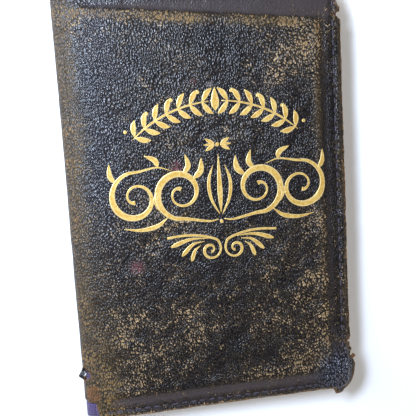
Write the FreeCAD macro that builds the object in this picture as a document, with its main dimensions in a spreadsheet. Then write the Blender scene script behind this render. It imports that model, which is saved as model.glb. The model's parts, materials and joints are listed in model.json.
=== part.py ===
import FreeCAD, Part
import math
import os

import Sketcher

# A pocket-size leather cover that folds round a small record booklet.
# The object lies on its back cover: X runs from the spine (-X) to the fore-edge (+X), Y from the tail
# to the head, Z up through the thickness. The origin is the centre of the face that it rests on.
# Each cover is leather over a stiff board, lined with cloth, with a pocket sewn to its border.
# The leather of the spine is a half round that bends at four lines, so it is three strips here.

Vector = FreeCAD.Vector
Rotation = FreeCAD.Rotation
Placement = FreeCAD.Placement

# Driving dimensions, in millimetres.
DIMENSIONS = {
    "cover_width": 88.0,  # outside of the spine to the fore-edge
    "cover_height": 132.0,
    "cover_thickness": 10.3,  # closed, over both raised panels
    "corner_radius": 4.0,
    "leather": 1.0,
    "board": 0.8,
    "lining": 0.25,
    "card": 0.4,
    "pocket": 0.5,
    "border": 6.5,  # from the cover's edge to the step up to the raised panel
    "board_from_hinge": 5.85,  # the board stops short of the line where the spine starts
    "lining_inset": 0.6,
    "pocket_depth": 46.0,  # from the cover's edge to the pocket's mouth
    "stitch_inset": 2.2,
    "stitch_pitch": 3.0,
    "stitch_length": 2.3,
    "stitch_width": 0.55,
    "stitch_height": 0.25,
    "card_width": 73.0,
    "card_height": 117.0,
    "card_ease": 0.5,  # room round a card in its pocket
    "leaf_width": 72.0,
    "leaf_height": 114.0,
    "leaf": 0.22,
    "leaf_pitch": 0.28,
    "leaf_from_fold": 1.0,  # from the booklet's fold line to the leaves
    "half_block": 1.4,  # the leaves that stay together on either side
    "block_from_middle": 0.75,
    "page_corner": 3.0,
    "fold_from_hinge": 0.69,  # the booklet's fold line, towards the fore-edge
    "spine_card_width": 4.8,
    "spine_card_from_fold": 2.9,
    "staple_wire": 0.4,
    "staple_bend": 0.6,
    "staple_width": 12.0,
    "staple_spacing": 66.0,
    "foil": 0.05,
}
FAN_LEAVES = 5
STRIP_ANGLE = 60.0  # three strips make the half round

doc = FreeCAD.newDocument("record_booklet")
sheet = doc.addObject("Spreadsheet::Sheet", "Dims")
for row, (alias, value) in enumerate(DIMENSIONS.items(), start=1):
    sheet.set(f"A{row}", alias)
    sheet.set(f"B{row}", str(value))
    sheet.setAlias(f"B{row}", alias)
doc.recompute()

# Places worked out from the sheet, as expressions for the objects bound to it.
SPINE_RADIUS = "Dims.cover_thickness / 2"
HINGE_X = f"({SPINE_RADIUS} - Dims.cover_width / 2)"
EDGE_X = "Dims.cover_width / 2"
EDGE_Y = "Dims.cover_height / 2"
STEP = "Dims.board"  # the raised panel stands proud by the board under it
PANEL_X = f"({EDGE_X} - Dims.border)"
PANEL_Y = f"({EDGE_Y} - Dims.border)"
FOLD_X = f"({HINGE_X} + Dims.fold_from_hinge)"
LINING_LOW = "(Dims.leather + Dims.board)"
CARD_LOW = f"({LINING_LOW} + Dims.lining)"
POCKET_LOW = f"({CARD_LOW} + Dims.card)"
MIDDLE_Z = "Dims.cover_thickness / 2"


def size(name):
    """A driving dimension in millimetres, as the sheet holds it."""
    return float(sheet.get(name))


# The same places as numbers, for the solids that are set by code.
HALF_THICK = size("cover_thickness") / 2
HINGE = HALF_THICK - size("cover_width") / 2
FOLD = HINGE + size("fold_from_hinge")
TOP = size("cover_thickness")

finished = []


def finish_part(part, label):
    """Names a sub-part and lists it for writing."""
    part.Label = label
    finished.append(part)
    return part


def turn_over(part):
    """Puts a cover's piece, modelled for the back cover, on the front cover."""
    part.Placement = Placement(Vector(0, 0, TOP), Rotation(Vector(1, 0, 0), 180))
    part.setExpression("Placement.Base.z", "Dims.cover_thickness")


def origin_plane(body, role):
    """The origin plane of a body that has the given role."""
    for feature in body.Origin.OriginFeatures:
        if feature.Role == role:
            return feature
    raise ValueError(role)


def outline_sketch(body, name, left, right, half_height, low, radius=None):
    """A sketch of an outline symmetric about X, with its two fore-edge corners rounded if asked."""
    sketch = body.newObject("Sketcher::SketchObject", name)
    sketch.AttachmentSupport = [(origin_plane(body, "XY_Plane"), "")]
    sketch.MapMode = "FlatFace"
    sketch.setExpression("AttachmentOffset.Base.z", low)
    x0, x1, y1, r = -30.0, 40.0, 60.0, 4.0 if radius else 0.0
    bottom_right, top_right = Vector(x1, -y1, 0), Vector(x1, y1, 0)
    lines = [
        Part.LineSegment(Vector(x0, -y1, 0), bottom_right - Vector(r, 0, 0)),
        Part.LineSegment(bottom_right + Vector(0, r, 0), top_right - Vector(0, r, 0)),
        Part.LineSegment(top_right - Vector(r, 0, 0), Vector(x0, y1, 0)),
        Part.LineSegment(Vector(x0, y1, 0), Vector(x0, -y1, 0)),
    ]
    bottom, fore, top, spine = (sketch.addGeometry(line, False) for line in lines)
    if radius:
        up = Vector(0, 0, 1)
        lower = Part.ArcOfCircle(Part.Circle(Vector(x1 - r, r - y1, 0), up, r), -math.pi / 2, 0)
        upper = Part.ArcOfCircle(Part.Circle(Vector(x1 - r, y1 - r, 0), up, r), 0, math.pi / 2)
        lower_arc, upper_arc = sketch.addGeometry(lower, False), sketch.addGeometry(upper, False)
        sketch.addConstraint(Sketcher.Constraint("Tangent", bottom, 2, lower_arc, 1))
        sketch.addConstraint(Sketcher.Constraint("Tangent", lower_arc, 2, fore, 1))
        sketch.addConstraint(Sketcher.Constraint("Tangent", fore, 2, upper_arc, 1))
        sketch.addConstraint(Sketcher.Constraint("Tangent", upper_arc, 2, top, 1))
        sketch.addConstraint(Sketcher.Constraint("Equal", lower_arc, upper_arc))
        rounding = sketch.addConstraint(Sketcher.Constraint("Radius", lower_arc, r))
        sketch.setExpression(f"Constraints[{rounding}]", radius)
    else:
        sketch.addConstraint(Sketcher.Constraint("Coincident", bottom, 2, fore, 1))
        sketch.addConstraint(Sketcher.Constraint("Coincident", fore, 2, top, 1))
    sketch.addConstraint(Sketcher.Constraint("Coincident", top, 2, spine, 1))
    sketch.addConstraint(Sketcher.Constraint("Coincident", spine, 2, bottom, 1))
    sketch.addConstraint(Sketcher.Constraint("Horizontal", bottom))
    sketch.addConstraint(Sketcher.Constraint("Horizontal", top))
    sketch.addConstraint(Sketcher.Constraint("Vertical", fore))
    sketch.addConstraint(Sketcher.Constraint("Vertical", spine))
    places = [
        ("DistanceX", spine, x0, left),
        ("DistanceX", fore, x1, right),
        ("DistanceY", top, y1, half_height),
        ("DistanceY", bottom, -y1, f"-({half_height})"),
    ]
    for kind, line, value, expression in places:
        index = sketch.addConstraint(Sketcher.Constraint(kind, -1, 1, line, 1, value))
        sketch.setExpression(f"Constraints[{index}]", expression)
    return sketch


def pad(body, sketch, height):
    """Raises a sketch by the given height."""
    feature = body.newObject("PartDesign::Pad", sketch.Name + "_pad")
    feature.Profile = sketch
    feature.setExpression("Length", height)
    sketch.Visibility = False
    return feature


def cut_up(body, sketch, height):
    """Cuts a sketch's area away, upwards by the given height."""
    feature = body.newObject("PartDesign::Pocket", sketch.Name + "_cut")
    feature.Profile = sketch
    feature.Reversed = True
    feature.setExpression("Length", height)
    return feature


def plate(label, left, right, half_height, low, height, radius=None):
    """A flat sheet with the given outline, lying at the height low."""
    body = doc.addObject("PartDesign::Body", label + "_body")
    pad(body, outline_sketch(body, label + "_outline", left, right, half_height, low, radius), height)
    return body


def cover_leather(label):
    """The leather of one cover: a thin border round a panel that stands proud over the board."""
    body = doc.addObject("PartDesign::Body", label + "_body")
    border = outline_sketch(body, label + "_border", HINGE_X, EDGE_X, EDGE_Y, STEP, "Dims.corner_radius")
    pad(body, border, "Dims.leather")
    panel = outline_sketch(body, label + "_panel", HINGE_X, PANEL_X, PANEL_Y, "0 mm", "Dims.corner_radius / 2")
    pad(body, panel, LINING_LOW)
    inside_x = f"({PANEL_X} - Dims.leather)"
    inside_y = f"({PANEL_Y} - Dims.leather)"
    hollow = outline_sketch(body, label + "_hollow", HINGE_X, inside_x, inside_y, "Dims.leather")
    cut_up(body, hollow, "Dims.board")
    return body


def cover_board(label):
    """The stiff board inside one cover."""
    left = f"({HINGE_X} + Dims.board_from_hinge)"
    right = f"({PANEL_X} - Dims.leather)"
    half_height = f"({PANEL_Y} - Dims.leather)"
    return plate(label, left, right, half_height, "Dims.leather", "Dims.board")


def cover_lining(label):
    """The cloth on the inside of one cover."""
    right = f"({EDGE_X} - Dims.lining_inset)"
    half_height = f"({EDGE_Y} - Dims.lining_inset)"
    return plate(label, HINGE_X, right, half_height, LINING_LOW, "Dims.lining", "Dims.corner_radius")


def cover_pocket(label):
    """The pocket of one cover: sewn down along three edges, open towards the spine."""
    body = doc.addObject("PartDesign::Body", label + "_body")
    mouth = f"({EDGE_X} - Dims.pocket_depth)"
    right = f"({EDGE_X} - Dims.lining_inset)"
    half_height = f"({EDGE_Y} - Dims.lining_inset)"
    flap = outline_sketch(body, label + "_flap", mouth, right, half_height, CARD_LOW, "Dims.corner_radius")
    pad(body, flap, "(Dims.card + Dims.pocket)")
    inside_x = f"({FOLD_X} + Dims.leaf_from_fold + Dims.card_width + Dims.card_ease)"
    inside_y = "(Dims.card_height / 2 + Dims.card_ease)"
    inside = outline_sketch(body, label + "_inside", mouth, inside_x, inside_y, CARD_LOW)
    cut_up(body, inside, "Dims.card")
    return body


def booklet_card(label):
    """One half of the booklet's card cover, slipped into a pocket."""
    left = f"({FOLD_X} + Dims.leaf_from_fold)"
    right = f"({left} + Dims.card_width)"
    return plate(label, left, right, "Dims.card_height / 2", CARD_LOW, "Dims.card", "Dims.page_corner")


def page_sheet(label, low, height):
    """Leaves of the booklet, from the fold line to their fore-edge."""
    left = f"({FOLD_X} + Dims.leaf_from_fold)"
    right = f"({left} + Dims.leaf_width)"
    return plate(label, left, right, "Dims.leaf_height / 2", low, height, "Dims.page_corner")


def spine_strip(label, number, outer, thick, half_height):
    """A third of the half round at the spine, counted from the back cover."""
    start = Rotation(Vector(1, 0, 0), 90)
    parts = []
    for name, radius in (("outer", outer), ("inner", f"({outer} - {thick})")):
        sector = doc.addObject("Part::Cylinder", f"{label}_{name}")
        turn = Rotation(Vector(0, 1, 0), 90 + STRIP_ANGLE * (number + 1))
        sector.Placement = Placement(Vector(HINGE, 0, HALF_THICK), turn * start)
        sector.setExpression("Radius", radius)
        sector.setExpression("Height", f"2 * ({half_height})")
        sector.setExpression("Placement.Base.x", HINGE_X)
        sector.setExpression("Placement.Base.y", half_height)
        sector.setExpression("Placement.Base.z", MIDDLE_Z)
        sector.Angle = STRIP_ANGLE if name == "outer" else 360
        parts.append(sector)
    strip = doc.addObject("Part::Cut", label + "_strip")
    strip.Base, strip.Tool = parts
    return strip


def stitch_places():
    """Middle and direction of every stitch: up the tail, fore-edge and head of a cover."""
    inset, pitch = size("stitch_inset"), size("stitch_pitch")
    right = size("cover_width") / 2 - inset
    head = size("cover_height") / 2 - inset
    clear = size("corner_radius") - inset / 2
    across = int((right - clear - HINGE) / pitch)
    along = int((2 * head - 2 * clear) / pitch)
    for number in range(across):
        x = right - clear - (number + 0.5) * pitch
        yield x, -head, 0
        yield x, head, 0
    start = -along * pitch / 2
    for number in range(along):
        yield right, start + (number + 0.5) * pitch, 90
    for side in (-1, 1):
        yield right - clear * 0.3, side * (head - clear * 0.3), -45 * side


def stitching(label):
    """The row of stitches that joins leather, lining and pocket along three edges."""
    length, width, height = size("stitch_length"), size("stitch_width"), size("stitch_height")
    stitches = []
    for x, y, angle in stitch_places():
        stitch = Part.makeBox(length, width, height, Vector(-length / 2, -width / 2, -height))
        stitch.Placement = Placement(Vector(x, y, size("board")), Rotation(Vector(0, 0, 1), angle))
        stitches.append(stitch)
    feature = doc.addObject("Part::Feature", label + "_stitches")
    feature.Shape = Part.makeCompound(stitches)
    return feature


def bent_wire(corners, bend, radius):
    """A round wire along straight runs, with a bend of the given radius at every corner."""
    edges = []
    start = corners[0]
    for before, corner, after in zip(corners, corners[1:], corners[2:]):
        back, ahead = (before - corner).normalize(), (after - corner).normalize()
        inward = (back + ahead) * (1 - math.sqrt(0.5))
        edges.append(Part.makeLine(start, corner + back * bend))
        edges.append(Part.Arc(corner + back * bend, corner + inward * bend, corner + ahead * bend).toShape())
        start = corner + ahead * bend
    edges.append(Part.makeLine(start, corners[-1]))
    section = Part.Wire(Part.makeCircle(radius, corners[0], corners[1] - corners[0]))
    return Part.Wire(edges).makePipeShell([section], True, False)


def booklet_staples():
    """Two wire staples through the booklet's fold, clinched on the outside of its card back."""
    wire = size("staple_wire") / 2
    outside = FOLD - size("spine_card_from_fold") - size("card") - wire
    half = size("staple_width") / 2
    clinch = 0.3 * half
    staples = []
    for middle in (-size("staple_spacing") / 2, size("staple_spacing") / 2):
        corners = [
            Vector(outside, middle - clinch, HALF_THICK),
            Vector(outside, middle - half, HALF_THICK),
            Vector(FOLD, middle - half, HALF_THICK),
            Vector(FOLD, middle + half, HALF_THICK),
            Vector(outside, middle + half, HALF_THICK),
            Vector(outside, middle + clinch, HALF_THICK),
        ]
        staples.append(bent_wire(corners, size("staple_bend"), wire))
    feature = doc.addObject("Part::Feature", "staple_wires")
    feature.Shape = Part.makeCompound(staples)
    return feature


def spine_card():
    """The folded back of the booklet's card cover, between the spine leather and the fold."""
    strip = doc.addObject("Part::Box", "spine_card_box")
    strip.setExpression("Length", "Dims.card")
    strip.setExpression("Width", "Dims.card_height")
    strip.setExpression("Height", "Dims.spine_card_width")
    strip.setExpression("Placement.Base.x", f"{FOLD_X} - Dims.spine_card_from_fold - Dims.card")
    strip.setExpression("Placement.Base.y", "-Dims.card_height / 2")
    strip.setExpression("Placement.Base.z", f"{MIDDLE_Z} - Dims.spine_card_width / 2")
    return strip


# Gilt ornament, stamped on the front panel. All of it is set out about one upright axis.
ORNAMENT_X = 2.9
ARCH_CENTRE_Y = -6.1
ARCH_RADIUS = 38.2  # middle of the arched band
ARCH_SPREAD = 41.0  # degrees either side of upright
ARCH_LEAVES = 9
LEAF_LENGTH = 7.0
LEAF_WIDTH = 3.4
MARK_Y = 18.9
SCROLL_Y = -13.8
VOLUTE_RADIUS = 3.2
VOLUTE_SPACING = 8.2
RAYS = ((15.6, 1.4, 15), (12.0, 3.2, 35), (9.2, 4.6, 55))  # reach, drop, lean in degrees
FLOURISH_Y = 4.5
FLOURISH_REACH = 35.0


def foil(outlines):
    """Thin foil with the given closed outlines, lying on the raised panel."""
    sheets = []
    for wire in outlines:
        sheets.append(Part.Face(wire).extrude(Vector(0, 0, size("foil"))))
    return sheets


def lens(x, y, length, width, angle):
    """A pointed leaf between two arcs, its length at the given angle from X, in degrees."""
    along = Vector(math.cos(math.radians(angle)), math.sin(math.radians(angle)), 0)
    across = Vector(-along.y, along.x, 0)
    middle = Vector(x, y, TOP)
    tip, tail = middle + along * (length / 2), middle - along * (length / 2)
    upper = Part.Arc(tip, middle + across * (width / 2), tail).toShape()
    lower = Part.Arc(tail, middle - across * (width / 2), tip).toShape()
    return Part.Wire([upper, lower])


def stroke(points, half_width):
    """A pen stroke along the given points, thick in the middle and pointed at both ends."""
    left, right = [], []
    last = len(points) - 1
    for number, point in enumerate(points):
        ahead = points[min(number + 1, last)] - points[max(number - 1, 0)]
        across = Vector(-ahead.y, ahead.x, 0).normalize()
        swell = half_width * math.sin(math.pi * number / last) ** 0.5
        left.append(point + across * swell)
        right.append(point - across * swell)
    edges = []
    for side in (left, right):
        curve = Part.BSplineCurve()
        curve.interpolate(side)
        edges.append(curve.toShape())
    return Part.Wire(edges)


def volute(x, y, side, radius, turns, reach):
    """A stroke that comes in from one side in a long line and rolls up into a spiral."""
    points = [Vector(x - side * reach, y + radius * 1.25, TOP)]
    steps = 10
    for number in range(steps + 1):
        share = number / steps
        angle = math.pi / 2 - share * turns * 2 * math.pi
        r = radius * (1 - 0.62 * share)
        points.append(Vector(x + side * r * math.cos(angle), y + r * math.sin(angle), TOP))
    return points


def gilt_arch():
    """Upright leaves along an arch."""
    leaves = []
    for number in range(ARCH_LEAVES):
        angle = 90 + ARCH_SPREAD * (1 - 2 * number / (ARCH_LEAVES - 1))
        x = ORNAMENT_X + ARCH_RADIUS * math.cos(math.radians(angle))
        y = ARCH_CENTRE_Y + ARCH_RADIUS * math.sin(math.radians(angle))
        leaves.append(lens(x, y, LEAF_LENGTH, LEAF_WIDTH, angle))
    return foil(leaves)


def gilt_mark():
    """Two small leaves in line, under the arch."""
    return foil(lens(ORNAMENT_X + side * 2.2, MARK_Y, 3.6, 1.6, 0) for side in (-1, 1))


def gilt_flourish():
    """A wide flourish: two long waves that leave a leaf in the middle."""
    strokes = [lens(ORNAMENT_X, FLOURISH_Y, 9.0, 4.0, 90)]
    for side in (-1, 1):
        points = []
        for number in range(13):
            share = number / 12
            x = ORNAMENT_X + side * (3.5 + (FLOURISH_REACH - 3.5) * share)
            y = FLOURISH_Y + 6.0 * math.sin(2 * math.pi * share) * (1 - 0.4 * share)
            points.append(Vector(x, y, TOP))
        strokes.append(stroke(points, 0.9))
    return foil(strokes)


def gilt_scroll(side):
    """One half of the scroll at the foot: a volute and three rays."""
    x = ORNAMENT_X + side * VOLUTE_SPACING / 2
    shapes = [stroke(volute(x, SCROLL_Y, -side, VOLUTE_RADIUS, 1.1, 14.0), 0.55)]
    for reach, drop, angle in RAYS:
        shapes.append(lens(ORNAMENT_X + side * reach, SCROLL_Y + 1.8 - drop, 4.2, 1.2, side * angle))
    return foil(shapes)


def foil_part(label, sheets):
    """One group of foil shapes."""
    feature = doc.addObject("Part::Feature", label + "_foil")
    feature.Shape = Part.makeCompound(sheets)
    return finish_part(feature, label)


COVER_PIECES = {
    "cover_leather": cover_leather,
    "board": cover_board,
    "lining": cover_lining,
    "pocket": cover_pocket,
    "stitching": stitching,
    "booklet_card": booklet_card,
}
for piece, make in COVER_PIECES.items():
    finish_part(make(f"back_{piece}"), f"back_{piece}")
    front = finish_part(make(f"front_{piece}"), f"front_{piece}")
    turn_over(front)

LINING_RADIUS = f"({SPINE_RADIUS} - Dims.leather)"
LINING_HALF = f"({EDGE_Y} - Dims.lining_inset)"
for number, place in enumerate(("back", "middle", "front")):
    label = f"spine_{place}_leather"
    finish_part(spine_strip(label, number, SPINE_RADIUS, "Dims.leather", EDGE_Y), label)
    label = f"spine_{place}_lining"
    finish_part(spine_strip(label, number, LINING_RADIUS, "Dims.lining", LINING_HALF), label)

finish_part(spine_card(), "booklet_spine_card")
finish_part(booklet_staples(), "booklet_staples")

back_low = f"({MIDDLE_Z} - Dims.block_from_middle - Dims.half_block)"
front_low = f"({MIDDLE_Z} + Dims.block_from_middle)"
finish_part(page_sheet("back_leaves", back_low, "Dims.half_block"), "back_leaves")
finish_part(page_sheet("front_leaves", front_low, "Dims.half_block"), "front_leaves")
for number in range(FAN_LEAVES):
    offset = number - (FAN_LEAVES - 1) / 2
    low = f"({MIDDLE_Z} + Dims.leaf_pitch * ({offset}) - Dims.leaf / 2)"
    finish_part(page_sheet(f"leaf_{number + 1}", low, "Dims.leaf"), f"leaf_{number + 1}")

foil_part("gilt_arch", gilt_arch())
foil_part("gilt_mark", gilt_mark())
foil_part("gilt_flourish", gilt_flourish())
foil_part("gilt_scroll_spine_side", gilt_scroll(-1))
foil_part("gilt_scroll_fore_side", gilt_scroll(1))

doc.recompute()
for thing in doc.Objects:
    if {"Invalid", "Error"} & set(thing.State):
        raise RuntimeError(f"{thing.Name} failed: {thing.State}")
os.makedirs("parts", exist_ok=True)
for part in finished:
    if part.Shape.isNull() or not part.Shape.isValid():
        raise RuntimeError(f"{part.Label} has no valid shape")
    part.Shape.exportStep(f"parts/{part.Label}.step")
    box = part.Shape.BoundBox
    print(
        f"{part.Label}: {len(part.Shape.Solids)} solids, {part.Shape.Volume:.1f} mm3, "
        f"x {box.XMin:.2f}..{box.XMax:.2f}, y {box.YMin:.2f}..{box.YMax:.2f}, z {box.ZMin:.2f}..{box.ZMax:.2f}"
    )
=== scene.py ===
import bpy
import itertools
import json
import math
import numpy as np
from mathutils import Matrix, Vector


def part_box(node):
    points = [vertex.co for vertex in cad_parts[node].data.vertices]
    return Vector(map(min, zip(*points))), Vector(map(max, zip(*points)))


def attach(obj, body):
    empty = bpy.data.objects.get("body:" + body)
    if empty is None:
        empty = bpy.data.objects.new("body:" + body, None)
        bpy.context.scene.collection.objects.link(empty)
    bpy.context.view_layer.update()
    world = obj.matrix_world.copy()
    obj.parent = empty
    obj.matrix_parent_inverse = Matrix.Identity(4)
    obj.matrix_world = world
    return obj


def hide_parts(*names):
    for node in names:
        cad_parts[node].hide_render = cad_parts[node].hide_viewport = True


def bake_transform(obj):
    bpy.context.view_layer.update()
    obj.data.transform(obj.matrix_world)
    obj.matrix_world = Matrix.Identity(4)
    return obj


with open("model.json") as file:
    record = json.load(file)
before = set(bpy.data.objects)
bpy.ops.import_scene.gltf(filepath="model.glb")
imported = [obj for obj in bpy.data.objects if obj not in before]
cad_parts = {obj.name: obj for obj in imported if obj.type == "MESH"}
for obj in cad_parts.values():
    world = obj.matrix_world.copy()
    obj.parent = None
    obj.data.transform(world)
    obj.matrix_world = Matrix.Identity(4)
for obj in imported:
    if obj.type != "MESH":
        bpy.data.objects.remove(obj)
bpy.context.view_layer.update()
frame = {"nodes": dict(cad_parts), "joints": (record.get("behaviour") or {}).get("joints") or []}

# Lengths in this script are millimetres, and places are read from the CAD frame. Meshes are made in metres.
MM = 0.001


def box_mm(node):
    """Lowest and highest corner of a CAD node, in millimetres."""
    low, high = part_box(node)
    return low / MM, high / MM


HIDE_LOW, HIDE_HIGH = box_mm("front_cover_leather")
BOARD_LOW, BOARD_HIGH = box_mm("front_board")
LINING_LOW, LINING_HIGH = box_mm("front_lining")
CARD_LOW, CARD_HIGH = box_mm("front_booklet_card")
POCKET_LOW, POCKET_HIGH = box_mm("front_pocket")
BLOCK_LOW, BLOCK_HIGH = box_mm("front_leaves")
BACK_LOW, BACK_HIGH = box_mm("booklet_spine_card")
TOP = HIDE_HIGH.z
MIDDLE = TOP / 2
EDGE_X = HIDE_HIGH.x
EDGE_Y = HIDE_HIGH.y
TAIL = -EDGE_Y
HINGE_X = HIDE_LOW.x
SPINE_X = box_mm("spine_middle_leather")[0].x
LEATHER = TOP - BOARD_HIGH.z
RECESS = BOARD_HIGH.z - BOARD_LOW.z
LINING_DEPTH = TOP - LINING_HIGH.z
LINING_THICK = LINING_HIGH.z - LINING_LOW.z
FOLD_X = next(joint["pos_m"][0] / MM for joint in frame["joints"] if joint["name"] == "front_pages_fold")

# The spine's outside is half an ellipse, a little fuller than the CAD's half round.
SPINE_REACH = 12.0
SPINE_CENTRE = SPINE_X + SPINE_REACH

# The plain border round the raised panel, the cover's corner radius, and how far its fore-edge has spread.
BORDER = 6.5
CORNER = 4.0
FORE_SPREAD = 0.5

# The raised panel ends at a crease at the tail, and at one at the head that runs askew.
TAIL_CREASE = -59.5
HEAD_CREASE = 58.8
HEAD_SLANT = 0.08

# The stitches: their distance in from the edge, their pitch, length and width.
STITCH_INSET = 2.2
STITCH_PITCH = 3.0
STITCH_LENGTH = 2.35
STITCH_WIDTH = 0.56
STITCH_RINGS = 7
STITCH_AROUND = 8

# The fine and coarse grid steps of the leather and of the cloth.
LEATHER_GRID = (0.34, 0.66)
CLOTH_GRID = (0.6, 1.6)

# The lining is cut a little smaller than the leather. Pieces that lie on each other keep a small gap.
LINING_INSET = 0.5
GAP = 0.02
POCKET_THICK = 0.36

# A turning leaf bends over this distance from its fold.
PAGE_BEND = 26


# ---------------------------------------------------------------- shapes


class Profile:
    """The closed object's outline seen from the tail, measured along the leather from the spine's middle."""

    def __init__(self, steps=400):
        self.turn = np.linspace(0, math.pi / 2, steps)
        x = -SPINE_REACH * np.cos(self.turn)
        z = MIDDLE * np.sin(self.turn)
        self.run = np.concatenate([[0], np.cumsum(np.hypot(np.diff(x), np.diff(z)))])
        self.quarter = self.run[-1]
        self.edge = self.quarter + EDGE_X - SPINE_CENTRE

    def at(self, u, depth_x=0.0, depth_z=0.0):
        """Place and outward direction, in the XZ plane, at a distance u along the leather."""
        far = np.abs(u)
        turn = np.interp(far, self.run, self.turn)
        reach, half = SPINE_REACH - depth_x, MIDDLE - depth_z
        x = SPINE_CENTRE - reach * np.cos(turn) + np.maximum(far - self.quarter, 0)
        z = half * np.sin(turn)
        out_x, out_z = -np.cos(turn) / reach, np.sin(turn) / half
        size = np.hypot(out_x, out_z)
        side = np.where(u < 0, -1.0, 1.0)
        return x, MIDDLE + side * z, out_x / size, side * out_z / size

    def along(self, x):
        """Distance along the leather of the front cover's point above x."""
        turn = math.acos(min(1.0, max(0.0, (SPINE_CENTRE - x) / SPINE_REACH)))
        return float(np.interp(turn, self.turn, self.run)) + max(x - SPINE_CENTRE, 0)


PROFILE = Profile()

# Measured along the leather from the spine's middle: where the flat cover starts, and its fore-edge.
SHOULDER = PROFILE.quarter
EDGE = PROFILE.edge


def smooth(low, high, value):
    """0 below low, 1 above high, and an even S between them."""
    t = np.clip((value - low) / (high - low), 0, 1)
    return t * t * (3 - 2 * t)


def bump(value, middle, width):
    """A round bump, 1 at the middle."""
    return np.exp(-(((value - middle) / width) ** 2))


def noise(u, v, cell, seed):
    """Smooth noise from -1 to 1 with the given cell size."""
    table = np.random.default_rng(seed).uniform(-1, 1, (128, 128))
    x, y = np.asarray(u) / cell + 1000.5, np.asarray(v) / cell + 1000.5
    i, j = np.floor(x).astype(int), np.floor(y).astype(int)
    a, b = x - i, y - j
    a, b = a * a * (3 - 2 * a), b * b * (3 - 2 * b)
    i0, j0, i1, j1 = i % 128, j % 128, (i + 1) % 128, (j + 1) % 128
    low = table[i0, j0] * (1 - a) + table[i1, j0] * a
    high = table[i0, j1] * (1 - a) + table[i1, j1] * a
    return low * (1 - b) + high * b


def clouds(u, v, cell, seed, layers=3):
    """Noise with finer and fainter layers added."""
    total, share = 0.0, 1.0
    for layer in range(layers):
        total = total + share * noise(u, v, cell / 2**layer, seed + layer)
        share *= 0.5
    return total


def rounded_box(u, v, low_u, high_u, half_v, radius):
    """Signed distance to a box with rounded corners, negative inside."""
    centre, half = (low_u + high_u) / 2, (high_u - low_u) / 2
    a = np.abs(u - centre) - half + radius
    b = np.abs(v) - half_v + radius
    outside = np.hypot(np.maximum(a, 0), np.maximum(b, 0))
    return outside + np.minimum(np.maximum(a, b), 0) - radius


def polygon(u, v, corners):
    """Signed distance to a polygon, negative inside."""
    best = np.full(np.shape(u), 1e9)
    inside = np.zeros(np.shape(u), bool)
    for (au, av), (bu, bv) in zip(corners, corners[1:] + corners[:1]):
        du, dv = bu - au, bv - av
        t = np.clip(((u - au) * du + (v - av) * dv) / (du * du + dv * dv), 0, 1)
        best = np.minimum(best, np.hypot(u - au - t * du, v - av - t * dv))
        if dv:
            crosses = (av > v) != (bv > v)
            inside ^= crosses & (u < au + (v - av) * du / dv)
    return np.where(inside, -best, best)


def graded(low, high, fine, coarse, margin):
    """Grid lines from low to high, close together within the margin of both ends."""
    lines, at = [low], low
    while at < high:
        near = min(at - low, high - at)
        at += fine + (coarse - fine) * float(smooth(margin * 0.5, margin * 1.5, near))
        lines.append(min(at, high))
    if high - lines[-2] < fine * 0.5:
        del lines[-2]
    return np.array(lines)


def new_object(name, data):
    """An object of the scene that holds a mesh, a light or a camera."""
    obj = bpy.data.objects.new(name, data)
    bpy.context.scene.collection.objects.link(obj)
    return obj


def new_mesh(name, points, faces, marks=None, flat=None, surface=None, materials=()):
    """A mesh object from points in millimetres, with its painted marks and flat coordinates."""
    mesh = bpy.data.meshes.new(name)
    mesh.from_pydata((np.asarray(points) * MM).tolist(), [], faces)
    for material in materials:
        mesh.materials.append(material)
    if surface is not None:
        mesh.polygons.foreach_set("material_index", surface)
    mesh.polygons.foreach_set("use_smooth", np.ones(len(mesh.polygons), bool))
    for label, kind, field, values in (("flat", "FLOAT_VECTOR", "vector", flat),
                                       ("marks", "FLOAT_COLOR", "color", marks)):
        if values is not None:
            layer = mesh.attributes.new(label, kind, "POINT")
            layer.data.foreach_set(field, np.asarray(values, np.float32).ravel())
    mesh.update()
    return new_object(name, mesh)


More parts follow.
